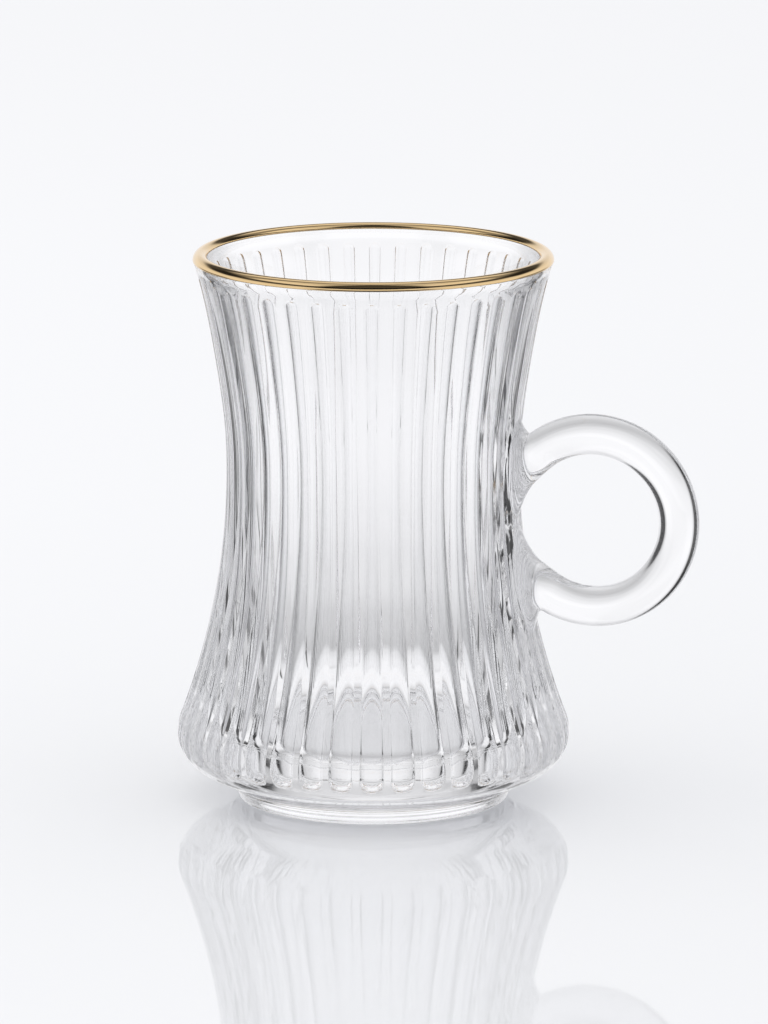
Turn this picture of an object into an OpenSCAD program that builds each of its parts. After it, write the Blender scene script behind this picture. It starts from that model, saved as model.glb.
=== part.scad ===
// Pressed chai glass with a narrow waist, a fluted wall, a ring handle and a gilded lip.
// The origin lies on the bowl's axis in the plane that the foot rests on, +Z points up
// and the handle stands out along +X. All lengths are in millimetres.

/* [Bowl] */
// Height of the whole glass, from the resting plane to the top of the gilded lip
glass_h = 96; // [88:0.5:106]
// Outer radius of the wall at its narrow waist
waist_r = 25.5; // [23:0.1:28]
// Height of the waist above the resting plane
waist_z = 58; // [54:0.2:61]
// Thickness of the wall at the waist
waist_t = 2.8; // [2:0.1:4]
// Thickness of the wall at the rounded lip
lip_t = 2.4; // [1.8:0.1:3]
// Height of the drinking floor above the resting plane
floor_z = 8; // [6:0.5:14]
// Radius of the corner between the inner wall and the drinking floor
floor_round_r = 4.5; // [1:0.5:5]

/* [Heel and foot] */
// Outer radius of the bowl at its widest place, the heel
heel_r = 34.1; // [32:0.1:36]
// Height of the heel's widest place above the resting plane
heel_z = 11.6; // [10:0.1:14]
// Radius of the heel's rounding
heel_round_r = 7; // [5:0.25:9]
// Radius of the neck ring where the underside of the heel ends
neck_r = 24.8; // [24:0.1:27]
// Height of the neck ring
neck_h = 0.5; // [0.3:0.1:1]
// Outer radius of the foot disc
foot_r = 23.5; // [20:0.1:23.8]
// Height of the foot disc
foot_h = 2.2; // [1.5:0.1:3]
// Radius of the rounded lower edge of the foot disc
foot_round_r = 0.6; // [0.2:0.1:1.2]
// Width of the flat ring under the foot that the glass stands on
foot_ring_w = 4; // [2:0.5:8]
// Depth of the shallow hollow under the foot
foot_hollow_h = 0.8; // [0.4:0.1:1.2]

/* [Flutes] */
// Number of flutes around the wall
flute_count = 40; // [24:1:44]
// Radius of the round tool that a flute is pressed with
flute_tool_r = 1.5; // [1.2:0.05:1.8]
// Depth of a flute at the waist
flute_depth = 0.48; // [0.3:0.02:0.7]
// Distance that the flutes' arc lies below the wall's arc, so that they deepen downwards
flute_drop = 0.6; // [0:0.05:0.8]
// Height of the plain band between the top of the flutes and the top of the lip
plain_band_h = 4; // [3:0.25:8]

/* [Ring handle] */
// Distance from the bowl's axis to the centre of the ring
ring_x = 39.1; // [38.5:0.1:41]
// Height of the ring's centre above the resting plane
ring_z = 50.7; // [48:0.1:54]
// Radius of the ring, from its centre to the middle of the rod
ring_r = 15.1; // [14.5:0.1:16.5]
// Radius of the round rod that the ring is bent from
rod_r = 3.5; // [3:0.1:3.8]
// Angle by which the rod's ends stay back from the far edges of the lands
rod_setback_angle = 1; // [0.5:0.5:4]

/* [Handle lands] */
// Half the width of a land where it spreads on the wall
land_half_w = 5; // [4:0.25:6.5]
// Height of the upper land's top edge
upper_land_top_z = 68; // [66:0.2:69]
// Height of the lower land's bottom edge
lower_land_bottom_z = 30.5; // [28:0.2:33]
// Height of the upper land's lower tip
upper_land_tip_z = 51.7; // [50.5:0.1:54]
// Height of the lower land's upper tip
lower_land_tip_z = 46.2; // [44:0.1:48]
// Distance that a land's pad stands out from the wall at its middle
land_bulge = 2; // [1:0.1:3]

/* [Gilding] */
// Thickness of the gold on the lip
gold_t = 0.15; // [0.1:0.01:0.3]
// Distance that the gold's lower edges lie above the line across the lip's centre
gold_edge_lift = 0.2; // [0:0.05:0.4]

/* [Hidden] */

clear_glass = [0.90, 0.93, 0.95, 0.55];
foot_glass = [0.84, 0.89, 0.92, 0.6];
ring_glass = [0.80, 0.86, 0.90, 0.6];
land_glass = [0.70, 0.78, 0.83, 0.7];
gold_colour = [0.80, 0.62, 0.30];

// Segments of the round shapes
round_fn = 96;
arc_fn = 360;
tool_fn = 32;
land_fn = 32;

// Length by which a cut runs past what it cuts
overrun = 5;

// The heel's rounding, inside its widest place
heel_x = heel_r - heel_round_r;

// One long arc makes the outer wall: upright at the waist, and touching the heel's rounding below
heel_flare = heel_x - waist_r;
heel_fall = waist_z - heel_z;
wall_arc_square = pow(heel_flare, 2) + pow(heel_fall, 2) - pow(heel_round_r, 2);
wall_arc_r = wall_arc_square / (2 * (heel_round_r + heel_flare));
arc_x = waist_r + wall_arc_r;
heel_slope = atan2(heel_fall, arc_x - heel_x);

// The lip is a half round between the outer and the inner wall
lip_round_r = lip_t / 2;
lip_z = glass_h - gold_t - lip_round_r;
lip_rise = lip_z - waist_z;
lip_x = arc_x - sqrt(pow(wall_arc_r + lip_round_r, 2) - pow(lip_rise, 2));
outer_slope = atan2(lip_rise, arc_x - lip_x);

// Inner wall: straight below the waist, and above it an arc that ends at the lip's round
bore_r = waist_r - waist_t;
lip_flare = lip_x - bore_r;
inner_arc_square = pow(lip_flare, 2) + pow(lip_rise, 2) - pow(lip_round_r, 2);
inner_arc_r = inner_arc_square / (2 * (lip_flare - lip_round_r));
inner_arc_x = bore_r + inner_arc_r;
inner_slope = atan2(lip_rise, inner_arc_x - lip_x);

// The underside is the straight line from the neck ring that touches the heel's rounding
neck_z = foot_h + neck_h;
under_reach = norm([heel_x - neck_r, heel_z - neck_z]);
under_angle = atan2(heel_z - neck_z, heel_x - neck_r) - asin(heel_round_r / under_reach);
under_x = heel_x + heel_round_r * sin(under_angle);
under_z = heel_z - heel_round_r * cos(under_angle);

// The flutes follow an arc of their own, whose centre lies a little below the wall's
flute_arc_r = wall_arc_r + flute_depth - flute_tool_r;
flute_arc_z = waist_z - flute_drop;
flute_top_angle = asin((glass_h - plain_band_h - flute_arc_z) / flute_arc_r);
flute_bottom_angle = asin(flute_arc_z / flute_arc_r);

// Radius of the outer wall at a height, and the wall's lean there
function wall_x(z) = arc_x - sqrt(pow(wall_arc_r, 2) - pow(z - waist_z, 2));
function wall_lean(z) = asin((z - waist_z) / wall_arc_r);

// Angle up or down from +X at which the far edge of a land on the wall is seen from the ring's centre
function far_edge_angle(far_z) = 180 - atan2(abs(ring_z - far_z), ring_x - wall_x(far_z));

// The rod ends short of the far edges of its lands
upper_end_angle = far_edge_angle(upper_land_top_z) - rod_setback_angle;
lower_end_angle = far_edge_angle(lower_land_bottom_z) - rod_setback_angle;

// Thickness of the disc with which a land meets the rod
land_seat_t = rod_r / 7;

// Outline of the plain wall between the waist and the lip
module upper_wall_outline() {
    span = inner_arc_r + wall_arc_r;
    difference() {
        intersection() {
            translate([inner_arc_x, waist_z]) circle(r = inner_arc_r, $fn = arc_fn);
            polygon([
                [0, waist_z],
                [arc_x, waist_z],
                [lip_x + span * cos(outer_slope), lip_z - span * sin(outer_slope)],
                [lip_x, lip_z],
                [lip_x - lip_x * cos(inner_slope), lip_z + lip_x * sin(inner_slope)],
            ]);
        }
        translate([arc_x, waist_z]) circle(r = wall_arc_r, $fn = arc_fn);
    }
    translate([lip_x, lip_z]) circle(r = lip_round_r, $fn = round_fn);
}

// Outline of the solid body up to a height, as if it held no drink
module solid_outline(top_z) {
    difference() {
        polygon([
            [0, foot_h],
            [neck_r, foot_h],
            [neck_r, neck_z],
            [under_x, under_z],
            [heel_x, heel_z],
            [heel_x + wall_arc_r * cos(heel_slope), heel_z + wall_arc_r * sin(heel_slope)],
            [arc_x, top_z],
            [0, top_z],
        ]);
        translate([arc_x, waist_z]) circle(r = wall_arc_r, $fn = arc_fn);
    }
    translate([heel_x, heel_z]) circle(r = heel_round_r, $fn = round_fn);
}

// Outline of the straight part of the space that holds the drink
module drink_outline() {
    corner_x = bore_r - floor_round_r;
    corner_z = floor_z + floor_round_r;
    translate([0, floor_z]) square([corner_x, waist_z - floor_z + overrun]);
    translate([0, corner_z]) square([bore_r, waist_z - corner_z]);
    translate([corner_x, corner_z]) circle(r = floor_round_r, $fn = round_fn);
}

// One flute: a round tool swept along the flutes' arc, from below the foot to the plain band
module flute() {
    translate([arc_x, 0, flute_arc_z]) rotate([90, 0, 0]) {
        sweep = flute_top_angle + flute_bottom_angle;
        rotate_extrude(angle = sweep, start = 180 - flute_top_angle, $fn = arc_fn)
            translate([flute_arc_r, 0]) circle(r = flute_tool_r, $fn = tool_fn);
    }
}

// The rod, bent to an open ring in the plane of the handle
module bent_rod() {
    translate([ring_x, 0, ring_z]) rotate([90, 0, 0]) {
        rotate_extrude(angle = upper_end_angle + lower_end_angle, start = -lower_end_angle, $fn = round_fn)
            translate([ring_r, 0]) circle(r = rod_r, $fn = round_fn);
    }
}

// One land: it spreads from the end of the rod to a pad on the wall between two heights
module land(end_angle, low_z, high_z) {
    mid_z = (low_z + high_z) / 2;
    turn = end_angle > 0 ? 0 : 180;
    difference() {
        hull() {
            translate([ring_x, 0, ring_z])
                rotate([0, -end_angle, 0])
                    translate([ring_r, 0, 0])
                        rotate([turn, 0, 0])
                            cylinder(r = rod_r, h = land_seat_t, $fn = land_fn);
            translate([wall_x(mid_z), 0, mid_z]) rotate([0, wall_lean(mid_z), 0])
                scale([land_bulge, land_half_w, (high_z - low_z) / 2]) sphere(r = 1, $fn = land_fn);
        }
        rotate([0, 0, 180])
            rotate_extrude($fn = round_fn) solid_outline(upper_land_top_z + overrun);
    }
}

module fluted_bowl() {
    color(clear_glass) difference() {
        rotate_extrude($fn = round_fn) {
            upper_wall_outline();
            difference() {
                solid_outline(waist_z);
                drink_outline();
            }
        }
        for (turn = [0 : flute_count - 1]) {
            rotate([0, 0, (turn + 0.5) * 360 / flute_count]) flute();
        }
    }
}

module foot() {
    color(foot_glass) difference() {
        rotate_extrude($fn = round_fn) {
            translate([0, foot_round_r]) square([foot_r, foot_h - foot_round_r]);
            square([foot_r - foot_round_r, foot_h]);
            translate([foot_r - foot_round_r, foot_round_r]) circle(r = foot_round_r, $fn = tool_fn);
        }
        translate([0, 0, -overrun])
            cylinder(r = foot_r - foot_ring_w, h = foot_hollow_h + overrun, $fn = round_fn);
    }
}

module ring_handle() {
    color(ring_glass) bent_rod();
}

module upper_handle_land() {
    color(land_glass) land(upper_end_angle, upper_land_tip_z, upper_land_top_z);
}

module lower_handle_land() {
    color(land_glass) land(-lower_end_angle, lower_land_bottom_z, lower_land_tip_z);
}

module gold_rim() {
    color(gold_colour) rotate_extrude($fn = round_fn) {
        difference() {
            translate([lip_x, lip_z]) circle(r = lip_round_r + gold_t, $fn = round_fn);
            translate([lip_x, lip_z]) circle(r = lip_round_r, $fn = round_fn);
            translate([lip_x, lip_z + gold_edge_lift]) rotate(-outer_slope)
                translate([-lip_t, -2 * lip_t]) square([2 * lip_t, 2 * lip_t]);
        }
    }
}

fluted_bowl();
foot();
ring_handle();
upper_handle_land();
lower_handle_land();
gold_rim();
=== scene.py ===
"""Looks for the pressed chai glass: clear glass pieces, a gilded lip and a plain pale studio."""

import math

import bpy
import numpy as np
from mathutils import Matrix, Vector


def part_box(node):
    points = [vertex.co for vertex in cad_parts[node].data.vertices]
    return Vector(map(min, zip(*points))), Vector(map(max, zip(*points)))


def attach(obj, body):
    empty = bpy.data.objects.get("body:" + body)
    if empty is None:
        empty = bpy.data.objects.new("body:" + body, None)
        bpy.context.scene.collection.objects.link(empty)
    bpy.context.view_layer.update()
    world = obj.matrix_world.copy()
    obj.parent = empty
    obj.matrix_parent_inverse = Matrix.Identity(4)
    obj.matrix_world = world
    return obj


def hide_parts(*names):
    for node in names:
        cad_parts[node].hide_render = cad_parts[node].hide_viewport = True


bl_info = {
    "name": "Chai Glass",
    "version": (1, 0, 0),
    "blender": (4, 5, 0),
    "location": "View3D > Sidebar > Chai Glass",
    "description": "Builds a fluted chai glass with a ring handle and a gilded lip",
    "category": "Add Mesh",
}

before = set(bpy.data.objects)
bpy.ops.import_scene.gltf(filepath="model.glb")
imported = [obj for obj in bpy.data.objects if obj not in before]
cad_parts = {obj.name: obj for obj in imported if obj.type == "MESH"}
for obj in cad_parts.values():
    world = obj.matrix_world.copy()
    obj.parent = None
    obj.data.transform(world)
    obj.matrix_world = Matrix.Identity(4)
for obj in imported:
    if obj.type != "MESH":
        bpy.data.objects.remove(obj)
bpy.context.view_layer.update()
MM = 0.001
TAU = 2 * math.pi


def node_top(node):
    """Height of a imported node's highest point, in metres."""
    return float(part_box(node)[1][2])


class GlassSizes(bpy.types.PropertyGroup):
    """Sizes of the bowl, its foot and its lip."""

    height: bpy.props.FloatProperty(
        name="Height", description="Height of the whole glass",
        default=node_top("gold_rim"), unit="LENGTH"
    )
    waist_r: bpy.props.FloatProperty(
        name="Waist radius", description="Outer radius of the wall at the waist",
        default=25.5 * MM, unit="LENGTH"
    )
    waist_z: bpy.props.FloatProperty(
        name="Waist height", description="Height of the waist above the table",
        default=58 * MM, unit="LENGTH"
    )
    waist_t: bpy.props.FloatProperty(
        name="Waist wall", description="Thickness of the wall at the waist",
        default=2.8 * MM, unit="LENGTH"
    )
    lip_t: bpy.props.FloatProperty(
        name="Lip wall", description="Thickness of the rounded lip", default=2.4 * MM, unit="LENGTH"
    )
    floor_z: bpy.props.FloatProperty(
        name="Floor height", description="Height of the drinking floor", default=8 * MM, unit="LENGTH"
    )
    floor_round_r: bpy.props.FloatProperty(
        name="Floor corner", description="Radius between the inner wall and the floor",
        default=4.5 * MM, unit="LENGTH"
    )
    fullness: bpy.props.FloatProperty(
        name="Fullness", description="Extra radius of the wall midway between waist and lip",
        default=0.3 * MM, unit="LENGTH"
    )
    heel_r: bpy.props.FloatProperty(
        name="Heel radius", description="Outer radius at the widest place",
        default=34.1 * MM, unit="LENGTH"
    )
    heel_z: bpy.props.FloatProperty(
        name="Heel height", description="Height of the widest place", default=11.6 * MM, unit="LENGTH"
    )
    heel_round_r: bpy.props.FloatProperty(
        name="Heel rounding", description="Radius of the heel's rounding", default=7 * MM, unit="LENGTH"
    )
    neck_r: bpy.props.FloatProperty(
        name="Neck radius", description="Radius of the ring under the heel",
        default=24.8 * MM, unit="LENGTH"
    )
    neck_h: bpy.props.FloatProperty(
        name="Neck height", description="Height of the ring under the heel",
        default=0.5 * MM, unit="LENGTH"
    )
    foot_r: bpy.props.FloatProperty(
        name="Foot radius", description="Outer radius of the foot", default=23.5 * MM, unit="LENGTH"
    )
    foot_h: bpy.props.FloatProperty(
        name="Foot height", description="Height of the foot", default=node_top("foot"), unit="LENGTH"
    )
    foot_hollow_r: bpy.props.FloatProperty(
        name="Hollow radius", description="Radius of the hollow under the foot",
        default=19.5 * MM, unit="LENGTH"
    )
    foot_hollow_h: bpy.props.FloatProperty(
        name="Hollow depth", description="Depth of the hollow under the foot",
        default=0.8 * MM, unit="LENGTH"
    )


class FluteSizes(bpy.types.PropertyGroup):
    """Sizes of the flutes pressed into the wall."""

    count: bpy.props.IntProperty(
        name="Flutes", description="Number of flutes around the wall", default=40, min=8
    )
    top_depth: bpy.props.FloatProperty(
        name="Top depth", description="Depth of a flute near the lip", default=0.30 * MM, unit="LENGTH"
    )
    waist_depth: bpy.props.FloatProperty(
        name="Waist depth", description="Depth of a flute at the waist", default=0.27 * MM, unit="LENGTH"
    )
    heel_depth: bpy.props.FloatProperty(
        name="Heel depth", description="Depth of a flute at the heel", default=0.65 * MM, unit="LENGTH"
    )
    top_share: bpy.props.FloatProperty(
        name="Top width", description="Share of the pitch that a flute takes near the lip", default=0.46
    )
    waist_share: bpy.props.FloatProperty(
        name="Waist width", description="Share of the pitch that a flute takes at the waist", default=0.36
    )
    heel_share: bpy.props.FloatProperty(
        name="Heel width", description="Share of the pitch that a flute takes at the heel", default=0.78
    )
    top_step: bpy.props.FloatProperty(
        name="Top step", description="Share of a flute's depth that its steep edge takes near the lip",
        default=0.25
    )
    heel_step: bpy.props.FloatProperty(
        name="Heel step", description="Share of a flute's depth that its steep edge takes at the heel",
        default=0.35
    )
    edge: bpy.props.FloatProperty(
        name="Edge", description="Share of a flute's half width that its steep edge takes", default=0.20
    )
    top_z: bpy.props.FloatProperty(
        name="Flute top", description="Height of the rounded tops of the flutes",
        default=92.2 * MM, unit="LENGTH"
    )
    bottom_z: bpy.props.FloatProperty(
        name="Flute foot", description="Height of the rounded feet of the flutes",
        default=8.2 * MM, unit="LENGTH"
    )


class HandleSizes(bpy.types.PropertyGroup):
    """Sizes of the ring handle and of the lands that join it to the wall."""

    ring_x: bpy.props.FloatProperty(
        name="Ring place", description="Distance from the axis to the ring's centre",
        default=39.1 * MM, unit="LENGTH"
    )
    ring_z: bpy.props.FloatProperty(
        name="Ring height", description="Height of the ring's centre", default=50.7 * MM, unit="LENGTH"
    )
    ring_r: bpy.props.FloatProperty(
        name="Ring radius", description="Radius to the middle of the rod",
        default=15.1 * MM, unit="LENGTH"
    )
    rod_r: bpy.props.FloatProperty(
        name="Rod radius", description="Radius of the round rod", default=3.5 * MM, unit="LENGTH"
    )
    setback: bpy.props.FloatProperty(
        name="Setback", description="Angle by which the rod stays back from the lands",
        default=math.radians(1), unit="ROTATION"
    )
    land_half_w: bpy.props.FloatProperty(
        name="Land half width", description="Half the width of a land on the wall",
        default=5 * MM, unit="LENGTH"
    )
    # Painted shade: how much of the painted flute grey the lands take
    land_shade: bpy.props.FloatProperty(
        name="Land shade", description="How much of the flute tint the lands take",
        default=1.0, min=0, max=1
    )
    upper_land_top: bpy.props.FloatProperty(
        name="Upper land top", description="Height of the upper land's top",
        default=68 * MM, unit="LENGTH"
    )
    upper_land_tip: bpy.props.FloatProperty(
        name="Upper land tip", description="Height of the upper land's tip",
        default=50.6 * MM, unit="LENGTH"
    )
    lower_land_tip: bpy.props.FloatProperty(
        name="Lower land tip", description="Height of the lower land's tip",
        default=49.2 * MM, unit="LENGTH"
    )
    lower_land_bottom: bpy.props.FloatProperty(
        name="Lower land bottom", description="Height of the lower land's bottom",
        default=30.5 * MM, unit="LENGTH"
    )


class GlassFinish(bpy.types.PropertyGroup):
    """Colours and finishes of the glass, the gold and the studio, and the greys of the glass's painted
    shade.
    """

    clear: bpy.props.FloatVectorProperty(
        name="Clear glass", description="Tint of light that meets the glass straight on",
        subtype="COLOR", size=4, default=(0.996, 0.997, 1.0, 1), min=0, max=1
    )
    # Painted shade: the glass's colour turns to this grey where light grazes it, for the dark edges of
    # clear glass
    edge: bpy.props.FloatVectorProperty(
        name="Glass edge", description="Tint of light that grazes the glass",
        subtype="COLOR", size=4, default=(0.72, 0.725, 0.74, 1), min=0, max=1
    )
    # Painted shade: flutes and lands turn to this grey where light slants across the wall, more towards the
    # glass's sides
    flute: bpy.props.FloatVectorProperty(
        name="Flute tint", description="Tint of light that meets a flute at a slant",
        subtype="COLOR", size=4, default=(0.84, 0.845, 0.86, 1), min=0, max=1
    )
    gold: bpy.props.FloatVectorProperty(
        name="Fired gold", description="Colour of the gold on the lip",
        subtype="COLOR", size=4, default=(0.88, 0.65, 0.36, 1), min=0, max=1
    )
    # Painted shade in a reflection: the glass's colour is multiplied by this grey where the table mirrors
    # it
    mirrored: bpy.props.FloatVectorProperty(
        name="Mirror image", description="Tint of the glass's mirror image on the table",
        subtype="COLOR", size=4, default=(0.43, 0.43, 0.455, 1), min=0, max=1
    )
    shadow: bpy.props.FloatVectorProperty(
        name="Shadow", description="Tint of a lamp's light that has passed one side of the glass",
        subtype="COLOR", size=4, default=(0.93, 0.935, 0.95, 1), min=0, max=1
    )
    paper: bpy.props.FloatVectorProperty(
        name="Paper", description="Colour of the table and the background",
        subtype="COLOR", size=4, default=(0.885, 0.893, 0.915, 1), min=0, max=1
    )


# Shapes

# Thickness of the fired gold on the lip
GOLD_T = 0.15 * MM
# The wall starts to be fuller this far above the waist
FULL_START = 4 * MM
# Shares of the flutes' height, from their feet, between which their width changes
WIDTH_AT = (0, 0.12, 0.6, 1)
# The flutes are deepest this far above the heel, and at their feet have this share of that depth
DEEPEST_OVER_HEEL = 4 * MM
FOOT_DEPTH = 0.8
# A flute's steep edge fades out between these distances from its foot, and from its top
STEP_FROM_FOOT = (4 * MM, 14 * MM)
STEP_FROM_TOP = (26 * MM, 6 * MM)
# A flute this deep or deeper takes the whole painted flute shade
FULL_SHADE_DEPTH = 0.15 * MM
# Columns over half a flute, in half widths, close together on its steep edge
HALF_FLUTE = np.array([0, 0.28, 0.55, 0.82, 0.865, 0.91, 0.955, 1])
IN_FLUTE = np.concatenate([-HALF_FLUTE[:0:-1], HALF_FLUTE])
# Steps across the rib between two flutes, and outer columns for each column of the inner wall
RIB_STEPS = 6
THIN = 4
# Points round the heel, which stop at this share of the angle where the wall starts, and rows
# between the knots of the wall above it
HEEL_ROWS = 26
HEEL_STOP = 0.999
WALL_ROWS = (6, 14, 5, 14, 9, 15, 3)
# The gap between the heel's rounding and the first knot, and how far the close rows at the flutes'
# tops start below them and end above them
HEEL_GAP = 0.3 * MM
TOP_BELOW = 2.2 * MM
TOP_ABOVE = 0.2 * MM
# The wall's grid is bent round a land out to this many of its half sizes beyond its edge. The second
# number keeps the land's middle from a division by 0.
BEND_OUT = 0.6
TINY = 1e-12
# The radius at the neck's foot, and points of the slope from the neck to the heel
NECK_ROUND = 0.24 * MM
SLOPE_ROWS = 8
# Points over the lip, down the flared and the straight inner wall, and round the floor's corner
LIP_ROWS = 18
FLARE_ROWS = 16
BORE_ROWS = 10
CORNER_ROWS = 12
# The rounding at the edge of the hollow under the foot, and at the foot's outer edge
HOLLOW_ROUND = 0.3 * MM
FOOT_ROUND = 0.6 * MM
FOOT_COLS = 240
# Points round the handle's rod, and along the ring and a land
AROUND_ROD = 96
RING_ROWS = 180
LAND_ROWS = 60
# An angle on the ring: a row this close to each end of the rod keeps its shading round there
CLOSE = 0.0004
# How far a land's curves reach along the rod and along the wall, in lengths of their gap
LAND_LEAVE = 1.1
LAND_ARRIVE = 1.3
# How much they lean towards the axis at the wall, where along them the rows start, and the share of
# them that turns from the rod's circle
LAND_LEAN = 0.35
LAND_START = 0.004
LAND_ROUND = 0.5
# How far a land's end and the gold's back sink into the glass, and the land's fused skirt beyond that
SINK = 0.03 * MM
SKIRT = 0.25 * MM
# The share of a land's rows before its painted shade starts, and the share over which it comes in
SHADE_START = 0.35
SHADE_SPAN = 0.3
# The gold's edges outside and inside, as angles on the lip from straight out, and its taper
GOLD_OUTER = math.radians(-6)
GOLD_INNER = math.pi - math.radians(18)
GOLD_TAPER = math.radians(12)
GOLD_COLS = 360
# The material index of the fused faces on a piece of glass
FUSED = 1


class Wall:
    """The bowl's profile, worked out from its sizes.

    The outer arc is upright at the waist and touches the heel's rounding. The lip is a half circle
    that the outer arc and the inner one both touch, and the inner arc is upright at the waist too."""

    def __init__(self, g):
        self.g = g
        self.heel_x = g.heel_r - g.heel_round_r
        flare, fall = self.heel_x - g.waist_r, g.waist_z - g.heel_z
        self.arc_r = (flare**2 + fall**2 - g.heel_round_r**2) / (2 * (g.heel_round_r + flare))
        self.arc_x = g.waist_r + self.arc_r
        self.heel_slope = math.atan2(fall, self.arc_x - self.heel_x)
        self.lip_r = g.lip_t / 2
        self.lip_z = g.height - GOLD_T - self.lip_r
        rise = self.lip_z - g.waist_z
        self.lip_x = self.arc_x - math.sqrt((self.arc_r + self.lip_r) ** 2 - rise**2)
        self.outer_slope = math.atan2(rise, self.arc_x - self.lip_x)
        self.bore_r = g.waist_r - g.waist_t
        reach = self.lip_x - self.bore_r
        self.inner_r = (reach**2 + rise**2 - self.lip_r**2) / (2 * (reach - self.lip_r))
        self.inner_slope = math.atan2(rise, self.bore_r + self.inner_r - self.lip_x)
        self.neck_z = g.foot_h + g.neck_h
        self.full_from = g.waist_z + FULL_START
        dx, dz = self.heel_x - g.neck_r, g.heel_z - self.neck_z
        self.under_angle = math.atan2(dz, dx) - math.asin(g.heel_round_r / math.hypot(dx, dz))

    def outer(self, z):
        """Radius of the plain outer wall at heights z: arc_x - sqrt(arc_r^2 - (z - waist_z)^2).

        From full_from to the lip it is fuller by up to fullness, as a sine squared."""
        part = np.clip((z - self.full_from) / (self.lip_z - self.full_from), 0, 1)
        plain = self.arc_x - np.sqrt(self.arc_r**2 - (z - self.g.waist_z) ** 2)
        return plain + self.g.fullness * np.sin(math.pi * part) ** 2

    def inner(self, z):
        """Radius of the inner wall at heights z: straight up to the waist, then an arc of inner_r."""
        up = np.maximum(z - self.g.waist_z, 0)
        return self.bore_r + self.inner_r - np.sqrt(self.inner_r**2 - up**2)


def arc(cx, cz, r, start, end, count):
    """count points (x, z) of a circle of radius r about (cx, cz), from angle start to angle end."""
    a = np.linspace(start, end, count)
    return np.stack([cx + r * np.cos(a), cz + r * np.sin(a)], 1)


def smooth(t):
    """3t^2 - 2t^3 for t held between 0 and 1."""
    t = np.clip(t, 0, 1)
    return t * t * (3 - 2 * t)


def turned(profile, angle):
    """Points of a profile of (radius, height) turned about the axis to every angle, as (rows, cols, 3)."""
    r, z = profile[:, :1], profile[:, 1:]
    return np.stack([r * np.cos(angle), r * np.sin(angle), np.repeat(z, len(angle), 1)], -1)


def ring_grid(rows, cols, first=0):
    """Quads of a grid with rows rows of cols points each, closed around, as (rows - 1, cols, 4)."""
    r, c = np.meshgrid(np.arange(rows - 1), np.arange(cols), indexing="ij")
    n = (c + 1) % cols
    return np.stack([r * cols + c, r * cols + n, (r + 1) * cols + n, (r + 1) * cols + c], 2) + first


def fan(pole, ring, turn=False):
    """Triangles from one pole point to a closed ring of points, the other way round with turn."""
    after = np.roll(ring, -1)
    pole = np.full(len(ring), pole)
    return np.stack([pole, after, ring] if turn else [pole, ring, after], 1)


def build_mesh(name, points, faces, looks, slots=None):
    """A mesh object from a points array (n, 3) and a list of face index arrays, each (m, 3) or (m, 4).

    slots gives each face array's material index. Fused faces are flat and all others smooth."""
    points = np.ascontiguousarray(points, np.float32)
    me = bpy.data.meshes.new(name)
    loops = np.concatenate([f.ravel() for f in faces]).astype(np.int32)
    sizes = np.concatenate([np.full(len(f), f.shape[1], np.int32) for f in faces])
    starts = np.concatenate([[0], np.cumsum(sizes)[:-1]]).astype(np.int32)
    slots = slots or [0] * len(faces)
    index = np.concatenate([np.full(len(f), s, np.int32) for f, s in zip(faces, slots)])
    me.vertices.add(len(points))
    me.vertices.foreach_set("co", points.ravel())
    me.loops.add(len(loops))
    me.loops.foreach_set("vertex_index", loops)
    me.polygons.add(len(sizes))
    me.polygons.foreach_set("loop_start", starts)
    for look in looks:
        me.materials.append(look)
    me.polygons.foreach_set("material_index", index)
    me.polygons.foreach_set("use_smooth", index != FUSED)
    me.update(calc_edges=True)
    me.validate()
    ob = bpy.data.objects.new(name, me)
    bpy.context.scene.collection.objects.link(ob)
    return ob


def paint(ob, name, values):
    """Gives a mesh an attribute with one value for each vertex."""
    layer = ob.data.attributes.new(name, "FLOAT", "POINT")
    layer.data.foreach_set("value", values.astype(np.float32))


def outward(ob):
    """Turns every face of a closed piece outwards, by the sign of its volume."""
    me = ob.data
    me.calc_loop_triangles()
    tri = np.zeros(len(me.loop_triangles) * 3, np.int32)
    me.loop_triangles.foreach_get("vertices", tri)
    co = np.zeros(len(me.vertices) * 3)
    me.vertices.foreach_get("co", co)
    a, b, c = co.reshape(-1, 3)[tri.reshape(-1, 3)].transpose(1, 0, 2)
    if np.einsum("ij,ij->i", a, np.cross(b, c)).sum() < 0:
        me.flip_normals()


def settle(ob, node):
    """Turns a finished piece outwards and puts it on the body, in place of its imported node."""
    outward(ob)
    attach(ob, "root")
    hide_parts(node)


def make_turned(name, profile, cols, looks, slots, capped=True):
    """A profile of (radius, height) points turned about the axis.

    slots[i] is the material index of the band between points i and i + 1. A capped shape is closed
    by a fan to the axis at each end. Otherwise the profile is a loop, and one more band closes it."""
    points = turned(profile, np.arange(cols) / cols * TAU).reshape(-1, 3)
    rows = len(profile)
    quads = ring_grid(rows, cols)
    kinds = sorted(set(slots))
    faces = [quads[[i for i in range(rows - 1) if slots[i] == kind]].reshape(-1, 4) for kind in kinds]
    if capped:
        low = len(points)
        points = np.concatenate([points, [[0, 0, profile[0, 1]], [0, 0, profile[-1, 1]]]])
        faces += [fan(low, np.arange(cols), turn=True), fan(low + 1, np.arange(cols) + (rows - 1) * cols)]
        kinds += [slots[0], slots[-1]]
    else:
        faces.append(ring_grid(rows + 1, cols)[-1] % len(points))
        kinds.append(0)
    return build_mesh(name, points, faces, looks, kinds)


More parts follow.
